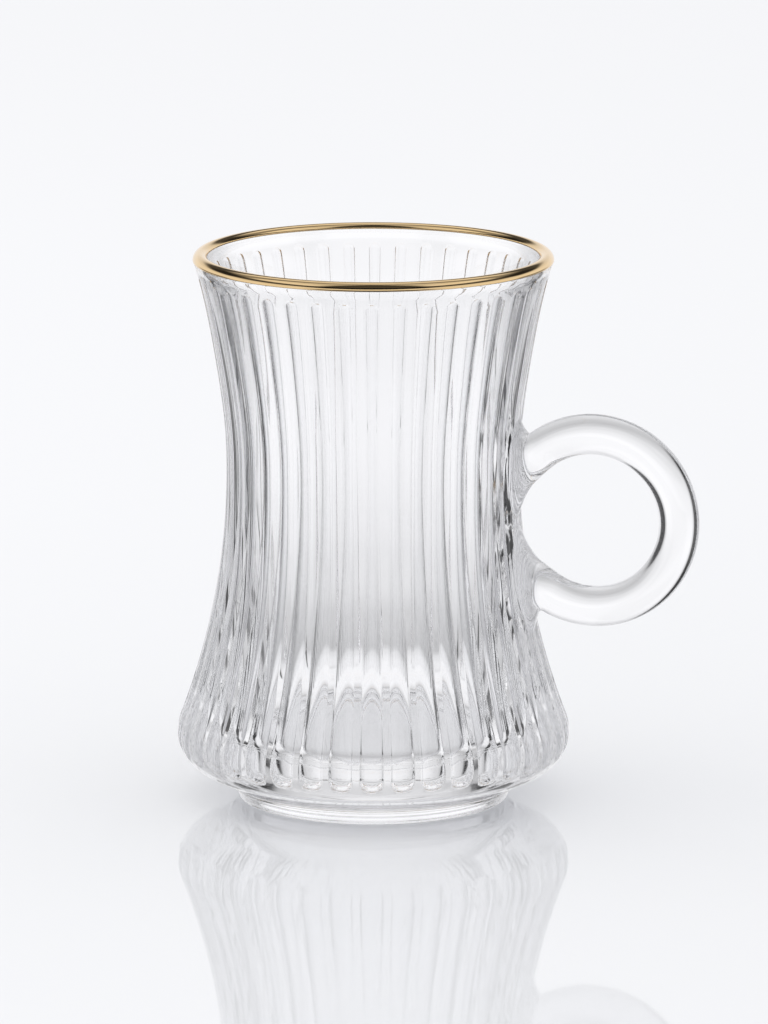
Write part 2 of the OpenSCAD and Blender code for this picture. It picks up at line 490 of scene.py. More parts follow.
def make_tube(name, sections, looks, sunk=False):
    """A closed tube through an array of sections (rows, cols, 3), fused at both its ends.

    If it is sunk into another piece, its last band is fused too."""
    rows, cols = sections.shape[:2]
    quads = ring_grid(rows, cols)
    clear = rows - 2 if sunk else rows - 1
    start = rows * cols
    points = np.concatenate([sections.reshape(-1, 3), [sections[0].mean(0), sections[-1].mean(0)]])
    faces = [
        quads[:clear].reshape(-1, 4),
        fan(start, np.arange(cols), turn=True),
        fan(start + 1, np.arange(cols) + (rows - 1) * cols),
        quads[clear:].reshape(-1, 4),
    ]
    return build_mesh(name, points, faces, looks, [0, FUSED, FUSED, FUSED])


def flute_share(flutes, z):
    """Share of the pitch that a flute takes at heights z: narrowest near the waist, straight in between."""
    rise = np.clip((z - flutes.bottom_z) / (flutes.top_z - flutes.bottom_z), 0, 1)
    shares = [flutes.heel_share, flutes.heel_share, flutes.waist_share, flutes.top_share]
    return np.interp(rise, WIDTH_AT, shares)


def flute_ends(flutes, rows, s):
    """Lengths along the outer profile at which the flutes start and end."""
    return [float(np.interp(z, rows[:, 1], s)) for z in (flutes.bottom_z, flutes.top_z)]


def flute_depth(wall, flutes, theta, x, z, length, ends):
    """Depth of the flutes at angle theta on the profile point (x, z), at a length along the profile.

    With q the distance from the line between the centres of the flute's two rounded ends, over its
    half width, the depth is d * (step * s(q) + (1 - step) * (1 - q^2)). The first part is a steep
    edge that rises from q = 1 to q = 1 - edge, and is there near the ends only. The second is a round
    hollow, and d goes from the top depth through the waist's to the heel's."""
    g, f = wall.g, flutes
    bottom, top = ends
    pitch = TAU / f.count
    off = (np.mod(theta / pitch, 1) - 0.5) * pitch
    half = 0.5 * pitch * x * flute_share(f, z)
    past_top = np.maximum(length - (top - half), 0) / half
    past_bottom = np.maximum((bottom + half) - length, 0) / half
    q = np.clip(np.sqrt((off * x / half) ** 2 + past_top**2 + past_bottom**2), 0, 1)
    depth = np.interp(
        z,
        [f.bottom_z, g.heel_z + DEEPEST_OVER_HEEL, g.waist_z, f.top_z],
        [f.heel_depth * FOOT_DEPTH, f.heel_depth, f.waist_depth, f.top_depth],
    )
    fades = [f.bottom_z + up for up in STEP_FROM_FOOT] + [f.top_z - down for down in STEP_FROM_TOP]
    step = np.interp(z, fades, [f.heel_step, 0, 0, f.top_step])
    return depth * (step * smooth((1 - q) / f.edge) + (1 - step) * (1 - q**2))


def pressed_in(theta, x, z, lean, depth):
    """Points at angle theta on the profile point (x, z), moved in by depth along the wall's normal.

    lean is how much the normal points down: the points move in by depth * sqrt(1 - lean^2) and up by
    depth * lean."""
    r = x - depth * np.sqrt(1 - lean**2)
    return np.stack([r * np.cos(theta), r * np.sin(theta), z + depth * lean], -1)


def land_patches(h):
    """The two ellipses in which the lands meet the wall, as (middle height, half height)."""
    return [
        ((h.upper_land_top + h.upper_land_tip) / 2, (h.upper_land_top - h.upper_land_tip) / 2),
        ((h.lower_land_tip + h.lower_land_bottom) / 2, (h.lower_land_tip - h.lower_land_bottom) / 2),
    ]


def wall_rows(wall, flutes, h):
    """Outer profile points from the heel's underside to the lip, and the length along it of each.

    Rows lie close at the flutes' rounded ends, and one lies on each end of the handle's lands."""
    g = wall.g
    start, end = wall.under_angle - math.pi / 2, wall.heel_slope * HEEL_STOP
    heel = arc(wall.heel_x, g.heel_z, g.heel_round_r, start, end, HEEL_ROWS)
    z_top = wall.lip_z - wall.lip_r * math.sin(wall.outer_slope)
    knots = [heel[-1, 1] + HEEL_GAP]
    for mid, half in sorted(land_patches(h)):
        knots += [mid - half, mid + half]
    knots += [flutes.top_z - TOP_BELOW, flutes.top_z + TOP_ABOVE, z_top]
    spans = [np.linspace(a, b, n, endpoint=False) for a, b, n in zip(knots, knots[1:], WALL_ROWS)]
    z = np.concatenate([*spans, [z_top]])
    rows = np.concatenate([heel, np.stack([wall.outer(z), z], 1)])
    return rows, np.concatenate([[0], np.cumsum(np.hypot(*np.diff(rows, axis=0).T))])


def wall_grid(wall, flutes, h, z):
    """Angles and heights of the outer wall's points, rows by columns, and its blocks for the lands.

    The columns follow the flutes. A point that lies p and q of a land's half sizes from its middle
    moves to (p, q) * max(|p|, |q|) / hypot(p, q), which makes a circle of each square round the
    middle, and so an ellipse of the land's edge. That fades out beyond the land. A block is the range
    of rows and the columns that lie on a land, and edge and other are the columns at its two sides."""
    pitch = TAU / flutes.count
    share = flute_share(flutes, z)[:, None]
    on_rib = np.linspace(0, 1, RIB_STEPS + 1)[1:-1]
    part = np.concatenate([0.5 * share * IN_FLUTE, 0.5 * share + (1 - share) * on_rib], 1)
    middle = (np.arange(flutes.count) + 0.5) * pitch
    theta = (middle[None, :, None] + part[:, None, :] * pitch).reshape(len(z), -1)
    theta = np.mod(theta + math.pi, TAU) - math.pi
    cols = theta.shape[1]
    height = np.repeat(z[:, None], cols, 1)
    blocks = []
    for mid, half_h in land_patches(h):
        across = theta[np.argmin(np.abs(z - mid))]
        edge = int(np.argmin(np.abs(across - math.asin(h.land_half_w / wall.outer(np.array(mid))))))
        other = int(np.argmin(np.abs(across + across[edge])))
        p, q = theta / theta[:, edge][:, None], (height - mid) / half_h
        square, circle = np.maximum(np.abs(p), np.abs(q)), np.hypot(p, q) + TINY
        fade = 1 - smooth((square - 1) / BEND_OUT)
        near = (np.abs(p) < 2) & (fade > 0)
        z_bent = mid + half_h * (q * square / circle)
        y_bent = p * square / circle * h.land_half_w
        theta_bent = np.arcsin(np.clip(y_bent / wall.outer(z_bent), -1, 1))
        theta = np.where(near, theta + fade * (theta_bent - theta), theta)
        height = np.where(near, height + fade * (z_bent - height), height)
        low, high = (int(np.argmin(np.abs(z - (mid + half_h * way)))) for way in (-1, 1))
        blocks.append((low, high, np.arange(other, other + (edge - other) % cols) % cols))
    return theta, height, blocks


def under_profile(wall, heel_start):
    """Profile points out over the foot, up the neck and along the slope to the heel's first point."""
    g, r = wall.g, NECK_ROUND
    seat = [[g.foot_r * 0.5, g.foot_h], [g.foot_r, g.foot_h], [g.foot_r + 0.4 * MM, g.foot_h]]
    corner = arc(g.neck_r - r, g.foot_h + r, r, -math.pi / 2, 0, 5)
    way = np.linspace(0, 1, SLOPE_ROWS)[:-1, None]
    neck = np.array([g.neck_r + 0.1 * MM, wall.neck_z + 0.1 * MM])
    return np.concatenate([seat, corner, neck * (1 - way) + heel_start * way])


def inner_profile(wall):
    """Profile points over the half round lip, down the inner wall and round the corner to the floor."""
    g, r = wall.g, wall.g.floor_round_r
    start, end = -wall.outer_slope, math.pi + wall.inner_slope
    lip = arc(wall.lip_x, wall.lip_z, wall.lip_r, start, end, LIP_ROWS)[1:]
    flared = np.linspace(lip[-1, 1] - 1.5 * MM, g.waist_z, FLARE_ROWS)
    z = np.concatenate([flared, np.linspace(g.waist_z, g.floor_z + r, BORE_ROWS)[1:]])
    corner = arc(wall.bore_r - r, g.floor_z + r, r, 0, -math.pi / 2, CORNER_ROWS)[1:]
    floor = [[wall.bore_r * share, g.floor_z] for share in (0.7, 0.4, 0.15)]
    return np.concatenate([lip, np.stack([wall.inner(z), z], 1), corner, floor])


def make_bowl(wall, flutes, h, looks):
    """The bowl, as one closed surface turned about the axis.

    It runs from the disc that the foot is fused to, up the fluted outer wall, over the lip, and
    down the plain inner wall to the drinking floor. The inner wall has one column for THIN outer
    ones. The blocks of the grid that lie under the handle's lands are fused."""
    g = wall.g
    rows, s = wall_rows(wall, flutes, h)
    x, z = rows[:, :1], rows[:, 1:]
    theta, height, blocks = wall_grid(wall, flutes, h, rows[:, 1])
    over_heel = height > rows[HEEL_ROWS - 1, 1]
    plain_x = np.where(over_heel, wall.outer(height), x)
    lean = np.where(over_heel, (height - g.waist_z) / wall.arc_r, -(z - g.heel_z) / g.heel_round_r)
    length = np.where(over_heel, np.interp(height, rows[:, 1], s), s[:, None])
    depth = flute_depth(wall, flutes, theta, plain_x, height, length, flute_ends(flutes, rows, s))
    below = under_profile(wall, rows[0])
    fine = np.concatenate([turned(below, theta[0]), pressed_in(theta, plain_x, height, lean, depth)])
    coarse = turned(inner_profile(wall), theta[-1, ::THIN])
    (total, cols), (few, thin) = fine.shape[:2], coarse.shape[:2]
    second = total * cols
    poles = [[0, 0, g.foot_h], [0, 0, g.floor_z]]
    points = np.concatenate([fine.reshape(-1, 3), coarse.reshape(-1, 3), poles])
    quads = ring_grid(total, cols)
    fused = np.zeros((total - 1, cols), bool)
    fused[0] = True
    for low, high, span in blocks:
        fused[np.ix_(np.arange(low, high) + len(below), span)] = True
    disc = fan(len(points) - 2, np.arange(cols), turn=True)
    floor = fan(len(points) - 1, np.arange(thin) + second + (few - 1) * thin)
    rim = np.arange(cols) + (total - 1) * cols
    near = second + ((np.arange(cols) + THIN // 2) // THIN) % thin
    comb = np.stack([rim, np.roll(rim, -1), np.roll(near, -1), near], 1)
    pointed = comb[:, 2] == comb[:, 3]
    inside = ring_grid(few, thin, second).reshape(-1, 4)
    faces = [quads[~fused], quads[fused], disc, floor, comb[~pointed], comb[pointed][:, :3], inside]
    ob = build_mesh("bowl", points, faces, looks, [0, FUSED, FUSED, 0, 0, 0, 0])
    # The flute attribute: how much painted flute shade each point of the outer wall takes, by the flute's
    # depth
    tint = np.zeros(len(points))
    tint[len(below) * cols : second] = np.clip(depth / FULL_SHADE_DEPTH, 0, 1).ravel()
    paint(ob, "flute", tint)
    settle(ob, "fluted_bowl")


def make_foot(wall, looks):
    """The foot: hollow underneath, a flat ring to stand on, rounded edges and a fused top."""
    g = wall.g
    r, hollow_r, hollow_h = g.foot_r, g.foot_hollow_r, g.foot_hollow_h
    soft, edge = HOLLOW_ROUND, FOOT_ROUND
    parts = [
        [[hollow_r * 0.3, hollow_h], [hollow_r * 0.7, hollow_h], [hollow_r - 2 * soft, hollow_h]],
        arc(hollow_r - soft, hollow_h - soft, soft, math.pi / 2, 0, 6)[1:],
        arc(hollow_r + soft, soft, soft, math.pi, 1.5 * math.pi, 6),
        [[r - edge - 0.5 * MM, 0]],
        arc(r - edge, edge, edge, -math.pi / 2, 0, 10),
        [[r, g.foot_h - 0.3 * MM], [r, g.foot_h], [r * 0.5, g.foot_h]],
    ]
    profile = np.concatenate(parts)
    slots = [0] * (len(profile) - 2) + [FUSED]
    settle(make_turned("foot_disc", profile, FOOT_COLS, looks, slots), "foot")


def rod_end_angles(wall, h):
    """Angles up and down from +X at which the rod ends: its lands' far edges less the setback."""
    angles = []
    for far in (h.upper_land_top, h.lower_land_bottom):
        dx = h.ring_x - float(wall.outer(np.array(far)))
        angles.append(math.pi - math.atan2(abs(h.ring_z - far), dx) - h.setback)
    return angles


def rod_circle(h, angle, around):
    """Points of the rod's round section at an angle on the ring.

    They lie at ring_r + rod_r * cos(around) from the ring's centre and rod_r * sin(around) beside its
    plane, so that around 0 points away from the centre."""
    out = h.ring_r + h.rod_r * np.cos(around) + 0 * angle
    side = h.rod_r * np.sin(around) + 0 * angle
    return np.stack([h.ring_x + out * np.cos(angle), side, h.ring_z + out * np.sin(angle)], -1)


def make_ring(wall, h, looks):
    """The ring handle: a round rod carried along an open circle from the lower land to the upper one."""
    up, down = rod_end_angles(wall, h)
    angle = np.concatenate([[-down], np.linspace(-down + CLOSE, up - CLOSE, RING_ROWS), [up]])[:, None]
    around = (np.arange(AROUND_ROD) / AROUND_ROD * TAU)[None]
    settle(make_tube("ring_rod", rod_circle(h, angle, around), looks), "ring_handle")


def make_land(name, node, wall, flutes, h, looks, patch, end_angle, sign):
    """A land: a loft from the rod's end to an ellipse on the wall. sign is 1 above the ring, -1 below.

    Each line of the loft is a cubic curve that leaves along the rod and meets the wall while it
    still runs outwards along it, so that the glass spreads in a hollow fillet. It then goes
    straight into the wall down to the flutes' bottoms, and its end is fused. Over its first part it
    turns from the rod's own circle into that curve."""
    mid, half_h = patch
    around = np.arange(AROUND_ROD) / AROUND_ROD * TAU
    start = rod_circle(h, end_angle, around)
    lead = np.array([-math.sin(end_angle), 0, math.cos(end_angle)]) * sign
    z = mid + sign * half_h * np.cos(around)
    y = h.land_half_w * np.sin(around)
    x = np.sqrt(wall.outer(z) ** 2 - y**2)
    end = np.stack([x, y, z], -1)
    lean = (z - wall.g.waist_z) / wall.arc_r
    out_y, out_z = y / h.land_half_w, (z - mid) / half_h
    out = np.stack([out_z * lean - out_y * y / x, out_y, out_z], -1)
    gap = np.linalg.norm(end - start, axis=1)[:, None]
    leave = lead[None] * gap * LAND_LEAVE
    arrive = (out - np.array([LAND_LEAN, 0, 0])) * gap * LAND_ARRIVE
    t = np.linspace(LAND_START, 1, LAND_ROWS)[:, None, None]
    loft = (
        (2 * t**3 - 3 * t**2 + 1) * start
        + (t**3 - 2 * t**2 + t) * leave
        + (3 * t**2 - 2 * t**3) * end
        + (t**3 - t**2) * arrive
    )
    turn = t[..., 0] * gap.T * LAND_LEAVE / (h.ring_r + h.rod_r * np.cos(around))
    onward = rod_circle(h, end_angle + sign * turn, around)
    loft = onward + smooth(t / LAND_ROUND) * (loft - onward)
    close = rod_circle(h, end_angle + sign * CLOSE, around)
    rows, s = wall_rows(wall, flutes, h)
    theta = np.arctan2(y, x)
    plain_x, length = wall.outer(z), np.interp(z, rows[:, 1], s)
    depth = flute_depth(wall, flutes, theta, plain_x, z, length, flute_ends(flutes, rows, s))
    sunk = end.copy()
    sunk[:, 0] = np.minimum(pressed_in(theta, plain_x, z, lean, depth)[:, 0], x) - SINK
    skirt = sunk - np.array([SKIRT, 0, 0])
    sections = np.concatenate([start[None], close[None], loft, sunk[None], skirt[None]])
    ob = make_tube(name, sections, looks, sunk=True)
    # The flute attribute on a land: how much painted flute shade it takes, coming in along its length
    share = np.arange(len(sections)) / len(sections)
    shade = h.land_shade * smooth((share - SHADE_START) / SHADE_SPAN)
    paint(ob, "flute", np.append(np.repeat(shade, AROUND_ROD), [0, h.land_shade]))
    settle(ob, node)


def make_gold(wall, gold):
    """The gold band: a skin over the lip, and a back that dips a little into the glass.

    The skin's height follows a quarter circle over the taper at each of its two edges."""
    a = np.linspace(GOLD_OUTER, GOLD_INNER, 40)
    ends = np.clip(np.minimum(a - GOLD_OUTER, GOLD_INNER - a) / GOLD_TAPER, 0, 1)
    r = wall.lip_r + GOLD_T * np.sqrt(1 - (1 - ends) ** 2)
    skin = np.stack([wall.lip_x + r * np.cos(a), wall.lip_z + r * np.sin(a)], 1)
    back = arc(wall.lip_x, wall.lip_z, wall.lip_r - SINK, GOLD_INNER, GOLD_OUTER, 30)
    profile = np.concatenate([skin, back])
    slots = [0] * (len(profile) - 1)
    ob = make_turned("gold_band", profile, GOLD_COLS, [gold], slots, capped=False)
    settle(ob, "gold_rim")


# Materials

GLASS_IOR = 1.5
# Places on Facing, from 0 square on to 1 grazing, where the glass's painted edge shade starts and is full
EDGE_SHADE_FROM, EDGE_SHADE_FULL = 0.34, 0.8
# The same for the painted flute shade, on the Facing of a wall that points straight out from the axis
FLUTE_SHADE_FROM, FLUTE_SHADE_FULL = 0.06, 0.28
# The pressed glass's slight waviness: the scale of its noise, and its bump's strength and height
WAVE_SCALE, WAVE_STRENGTH, WAVE_HEIGHT = 55, 0.12, 0.1 * MM
# Scale of the gold's patches, the share of each colour that a deep patch keeps, the gold's least
# roughness and how much more a patch adds
GOLD_SCALE = 140
GOLD_DEEP = (0.93, 0.9, 0.82)
GOLD_ROUGH, GOLD_ROUGH_MORE = 0.05, 0.06
# The table's roughness and its index of refraction
TABLE_ROUGH, TABLE_IOR = 0.035, 1.5


class Tree:
    """Short calls for making nodes and links in a material or a world."""

    def __init__(self, owner):
        owner.use_nodes = True
        self.tree = owner.node_tree
        self.tree.nodes.clear()

    def add(self, kind, **values):
        """A node of that kind, with values set as its properties."""
        n = self.tree.nodes.new(kind)
        for key, value in values.items():
            setattr(n, key, value)
        return n

    def link(self, a, b):
        """Links an output socket to an input socket."""
        self.tree.links.new(a, b)

    def fill(self, socket, value):
        """Gives an input a number or colour, or links it to an output socket."""
        if isinstance(value, (int, float, tuple)):
            socket.default_value = value
        else:
            self.link(value, socket)

    def math(self, operation, *values, clamp=False):
        """A Math node; values are sockets or numbers."""
        n = self.add("ShaderNodeMath", operation=operation, use_clamp=clamp)
        for socket, value in zip(n.inputs, values):
            self.fill(socket, value)
        return n.outputs[0]

    def ramp(self, source, stops):
        """An eased Color Ramp through stops of (place, colour)."""
        n = self.add("ShaderNodeValToRGB")
        n.color_ramp.interpolation = "EASE"
        while len(n.color_ramp.elements) < len(stops):
            n.color_ramp.elements.new(0.5)
        for e, (place, colour) in zip(n.color_ramp.elements, stops):
            e.position = place
            e.color = colour
        self.link(source, n.inputs[0])
        return n.outputs[0]

    def grey_ramp(self, source, stops):
        """An eased Color Ramp through stops of (place, grey value)."""
        return self.ramp(source, [(place, grey(value)) for place, value in stops])

    def mix(self, factor, a, b, blend="MIX"):
        """A colour Mix node; factor, a and b are sockets, numbers or colours."""
        n = self.add("ShaderNodeMix", data_type="RGBA", blend_type=blend)
        for place, value in ((0, factor), (6, a), (7, b)):
            self.fill(n.inputs[place], value)
        return n.outputs[2]

    def times(self, a, b):
        """The product of two colours."""
        return self.mix(1.0, a, b, "MULTIPLY")

    def choose(self, factor, a, b):
        """A Mix Shader node from shader a to shader b."""
        n = self.add("ShaderNodeMixShader")
        for socket, source in zip(n.inputs, (factor, a.outputs[0], b.outputs[0])):
            self.link(source, socket)
        return n

    def finish(self, kind, shader):
        """An output node of that kind that shows the shader."""
        self.link(shader.outputs[0], self.add(kind).inputs["Surface"])


def grey(v):
    """An opaque grey, a hundredth bluer than neutral."""
    return (v, v, v * 1.01, 1)


def clear_glass(finish):
    """Clear pressed glass: it refracts, and lets lamps through to the table with the shadow's tint.

    Its colour has painted shade: it is a little darker where light grazes it. Flutes and lands, which
    the flute attribute marks, are painted darker also where light slants across them, away from the
    direction straight out from the axis. What the table mirrors of the glass is painted darker by the
    mirror image's tint: such a ray is glossy but not a transmission ray, and meets the front of a face."""
    mat = bpy.data.materials.new("clear_glass")
    t = Tree(mat)
    bsdf = t.add("ShaderNodeBsdfPrincipled")
    bsdf.inputs["Roughness"].default_value = 0.0
    bsdf.inputs["IOR"].default_value = GLASS_IOR
    bsdf.inputs["Transmission Weight"].default_value = 1.0
    clear, edge, flute = tuple(finish.clear), tuple(finish.edge), tuple(finish.flute)
    facing = t.add("ShaderNodeLayerWeight")
    facing.inputs["Blend"].default_value = 0.5
    # Painted edge shade: the glass's colour greys where light grazes it
    grazing = [(0.0, clear), (EDGE_SHADE_FROM, clear), (EDGE_SHADE_FULL, edge), (1.0, edge)]
    plain = t.ramp(facing.outputs["Facing"], grazing)
    coords = t.add("ShaderNodeTexCoord")
    radial = t.add("ShaderNodeVectorMath", operation="MULTIPLY")
    radial.inputs[1].default_value = (1, 1, 0)
    t.link(coords.outputs["Object"], radial.inputs[0])
    unit = t.add("ShaderNodeVectorMath", operation="NORMALIZE")
    t.link(radial.outputs[0], unit.inputs[0])
    on_wall = t.add("ShaderNodeLayerWeight")
    on_wall.inputs["Blend"].default_value = 0.5
    t.link(unit.outputs[0], on_wall.inputs["Normal"])
    # Painted flute shade: the colour of flutes and lands greys where light slants across the wall
    flute_shade_stops = [(0.0, clear), (FLUTE_SHADE_FROM, clear), (FLUTE_SHADE_FULL, flute), (1.0, flute)]
    flute_shade = t.ramp(on_wall.outputs["Facing"], flute_shade_stops)
    flutes = t.add("ShaderNodeAttribute", attribute_name="flute")
    # The glass's colour with its painted edge shade, and on flutes and lands its painted flute shade too
    tint = t.mix(flutes.outputs["Fac"], plain, t.times(plain, flute_shade))
    side = t.add("ShaderNodeNewGeometry")
    light = t.add("ShaderNodeLightPath")
    glossy, passed = light.outputs["Is Glossy Ray"], light.outputs["Is Transmission Ray"]
    bounced = t.math("SUBTRACT", glossy, passed, clamp=True)
    mirrored = t.math("SUBTRACT", bounced, side.outputs["Backfacing"], clamp=True)
    # Painted shade in the table's mirror image: its rays darken the glass's colour
    t.link(t.mix(mirrored, tint, t.times(tint, tuple(finish.mirrored))), bsdf.inputs["Base Color"])
    wave = t.add("ShaderNodeTexNoise")
    wave.inputs["Scale"].default_value = WAVE_SCALE
    wave.inputs["Detail"].default_value = 1
    t.link(coords.outputs["Object"], wave.inputs["Vector"])
    bump = t.add("ShaderNodeBump")
    bump.inputs["Strength"].default_value = WAVE_STRENGTH
    bump.inputs["Distance"].default_value = WAVE_HEIGHT
    t.link(wave.outputs["Fac"], bump.inputs["Height"])
    t.link(bump.outputs["Normal"], bsdf.inputs["Normal"])
    through = t.add("ShaderNodeBsdfTransparent")
    through.inputs["Color"].default_value = tuple(finish.shadow)
    t.finish("ShaderNodeOutputMaterial", t.choose(light.outputs["Is Shadow Ray"], bsdf, through))
    return mat


def fused_glass():
    """Where two pieces of glass are one: nothing is seen and light goes straight on."""
    mat = bpy.data.materials.new("fused_glass")
    t = Tree(mat)
    t.finish("ShaderNodeOutputMaterial", t.add("ShaderNodeBsdfTransparent"))
    return mat


def fired_gold(finish):
    """Bright fired gold: a mirror, a little deeper in colour and softer in patches."""
    mat = bpy.data.materials.new("fired_gold")
    t = Tree(mat)
    bsdf = t.add("ShaderNodeBsdfPrincipled")
    bsdf.inputs["Metallic"].default_value = 1.0
    coords = t.add("ShaderNodeTexCoord")
    cloud = t.add("ShaderNodeTexNoise")
    cloud.inputs["Scale"].default_value = GOLD_SCALE
    cloud.inputs["Detail"].default_value = 3
    t.link(coords.outputs["Object"], cloud.inputs["Vector"])
    gold = tuple(finish.gold)
    deep = (*(colour * kept for colour, kept in zip(gold, GOLD_DEEP)), 1)
    t.link(t.mix(cloud.outputs["Fac"], gold, deep), bsdf.inputs["Base Color"])
    rough = t.math("MULTIPLY_ADD", cloud.outputs["Fac"], GOLD_ROUGH_MORE, GOLD_ROUGH)
    t.link(rough, bsdf.inputs["Roughness"])
    t.finish("ShaderNodeOutputMaterial", bsdf)
    return mat


def pale_table(finish):
    """Glossy pale table: it takes the glass's soft shadow and a faint mirror image.

    Light that comes through the glass, or off it, goes on to the world, which shows one even studio
    round the glass."""
    mat = bpy.data.materials.new("pale_table")
    t = Tree(mat)
    bsdf = t.add("ShaderNodeBsdfPrincipled")
    bsdf.inputs["Base Color"].default_value = tuple(finish.paper)
    bsdf.inputs["Roughness"].default_value = TABLE_ROUGH
    bsdf.inputs["IOR"].default_value = TABLE_IOR
    light = t.add("ShaderNodeLightPath")
    onward = t.math("MAXIMUM", light.outputs["Is Transmission Ray"], light.outputs["Is Glossy Ray"])
    through = t.add("ShaderNodeBsdfTransparent")
    t.finish("ShaderNodeOutputMaterial", t.choose(onward, bsdf, through))
    return mat


# The studio

# The direction from which the photo is taken, round from -Y towards the handle
MAIN_AZIMUTH = math.radians(14)
# The tables below give grey values at places. LIFT places are heights of a direction, from 0 straight
# down over 0.5 level to 1 straight up.
# What shows through glass: dark cards 45 degrees off the camera's direction and every quarter turn
# from there, as far as CARD_LIFT shows them
CARDS = (
    (0.00, 0.02), (0.10, 0.03), (0.14, 0.70), (0.20, 1.0),
    (0.80, 1.0), (0.86, 0.70), (0.90, 0.03), (1.00, 0.02),
)
CARD_LIFT = ((0.00, 0.0), (0.16, 0.0), (0.24, 1.0), (0.78, 1.0), (0.88, 0.2), (1.00, 0.2))
# What shows through glass by height alone: white at eye level, grey under it
THROUGH_LIFT = (
    (0.00, 0.92), (0.10, 0.72), (0.16, 0.60), (0.21, 0.54), (0.25, 0.63), (0.30, 0.80),
    (0.36, 0.91), (0.40, 0.97), (0.43, 1.0), (0.70, 1.0), (0.85, 0.85), (1.00, 0.9),
)
# What a mirrored ray meets: pale paper low down, a dark gap, and a soft box overhead
MIRROR_LIFT = (
    (0.00, 0.80), (0.50, 0.96), (0.585, 0.96), (0.61, 0.88), (0.645, 0.83),
    (0.71, 0.07), (0.78, 0.07), (0.86, 1.0), (1.00, 0.6),
)
# Dark boxes round the studio by direction, which the gold mirrors. The middle one is behind the camera.
SIDES = (
    (0.00, 1.0), (0.08, 1.0), (0.13, 0.30), (0.19, 0.30), (0.22, 1.0), (0.36, 1.0), (0.41, 0.08),
    (0.59, 0.08), (0.64, 1.0), (0.78, 1.0), (0.81, 0.30), (0.87, 0.30), (0.92, 1.0), (1.00, 1.0),
)
# Where this is 1 the dark boxes are left out, so that the table mirrors plain paper from every side
NO_SIDES = ((0.00, 0.0), (0.46, 0.0), (0.50, 1.0), (0.63, 1.0), (0.68, 0.0), (1.00, 0.0))
# What shows where a card or box is left out, and what lights the table from all round
WHITE = grey(1.0)
SOFT_LIGHT = (0.95, 0.95, 0.95, 1)
# Half the table's side, and the lamp's size, power in watts and place, up on the left
TABLE_HALF = 8.0
LAMP_SIZE = (0.9, 0.7)
LAMP_POWER = 3.0
LAMP_PLACE = (-0.75, -0.15, 0.95)
# The camera's lens in mm, its shift, its distance from the axis, its height and the height it aims at
LENS = 311.5
SHIFT = 10.6 / 1024
EYE_AWAY, EYE_UP, AIM_UP = 1.505, 0.361, 50.17 * MM
# How often light is traced on through the glass's many walls, and off its surfaces
BOUNCES, GLOSSY_BOUNCES = 32, 16


def studio_world(finish):
    """White studio round the glass. What a ray sees depends on its kind.

    Rays from the camera see plain paper, and diffuse rays a plain soft light. Mirrored rays see paper
    low down, with soft boxes and dark gaps higher up, and dark boxes round about that are left out at
    the heights which the table mirrors. Rays through glass see paper with dark cards, and grey below,
    so that the edges of clear glass show."""
    world = bpy.data.worlds.new("studio")
    bpy.context.scene.world = world
    t = Tree(world)
    coords = t.add("ShaderNodeTexCoord")
    split = t.add("ShaderNodeSeparateXYZ")
    t.link(coords.outputs["Generated"], split.inputs[0])
    x, y, z = split.outputs
    angle = t.math("ARCTAN2", y, x)
    lift = t.math("MULTIPLY_ADD", z, 0.5, 0.5)
    quarter = t.math("DIVIDE", t.math("ADD", angle, TAU + math.pi / 4 - MAIN_AZIMUTH), math.pi / 2)
    cards = t.grey_ramp(t.math("FRACT", quarter), CARDS)
    cards = t.mix(t.grey_ramp(lift, CARD_LIFT), WHITE, cards)
    seen_through = t.times(cards, t.grey_ramp(lift, THROUGH_LIFT))
    whole = t.math("DIVIDE", t.math("ADD", angle, TAU + 1.5 * math.pi - MAIN_AZIMUTH), TAU)
    sides = t.grey_ramp(t.math("FRACT", whole), SIDES)
    sides = t.mix(t.grey_ramp(lift, NO_SIDES), sides, WHITE)
    mirrored = t.times(t.grey_ramp(lift, MIRROR_LIFT), sides)
    light = t.add("ShaderNodeLightPath")
    shown = t.mix(light.outputs["Is Diffuse Ray"], tuple(finish.paper), SOFT_LIGHT)
    shown = t.mix(light.outputs["Is Glossy Ray"], shown, mirrored)
    shown = t.mix(light.outputs["Is Transmission Ray"], shown, seen_through)
    back = t.add("ShaderNodeBackground")
    t.link(shown, back.inputs["Color"])
    t.finish("ShaderNodeOutputWorld", back)


def place_aimed(name, data, place, target):
    """A lamp or camera at a place, turned so that its -Z points at the target."""
    ob = bpy.data.objects.new(name, data)
    ob.location = place
    ob.rotation_mode = "QUATERNION"
    ob.rotation_quaternion = (Vector(target) - ob.location).to_track_quat("-Z", "Y")
    bpy.context.scene.collection.objects.link(ob)
    return ob


# Operators

shared = {}


def shared_looks():
    """The materials, made once: clear and fused glass in the order of a piece's slots, and the gold."""
    if not shared:
        finish = bpy.context.scene.chai_finish
        shared.update(glass=[clear_glass(finish), fused_glass()], gold=fired_gold(finish))
    return shared


class CHAI_OT_bowl(bpy.types.Operator):
    """Builds the fluted bowl with its lip, heel and drinking floor"""

    bl_idname = "chai.bowl"
    bl_label = "Fluted bowl"

    def execute(self, context):
        s = context.scene
        make_bowl(Wall(s.chai_glass), s.chai_flutes, s.chai_handle, shared_looks()["glass"])
        return {"FINISHED"}


class CHAI_OT_foot(bpy.types.Operator):
    """Builds the foot disc under the heel"""

    bl_idname = "chai.foot"
    bl_label = "Foot"

    def execute(self, context):
        make_foot(Wall(context.scene.chai_glass), shared_looks()["glass"])
        return {"FINISHED"}


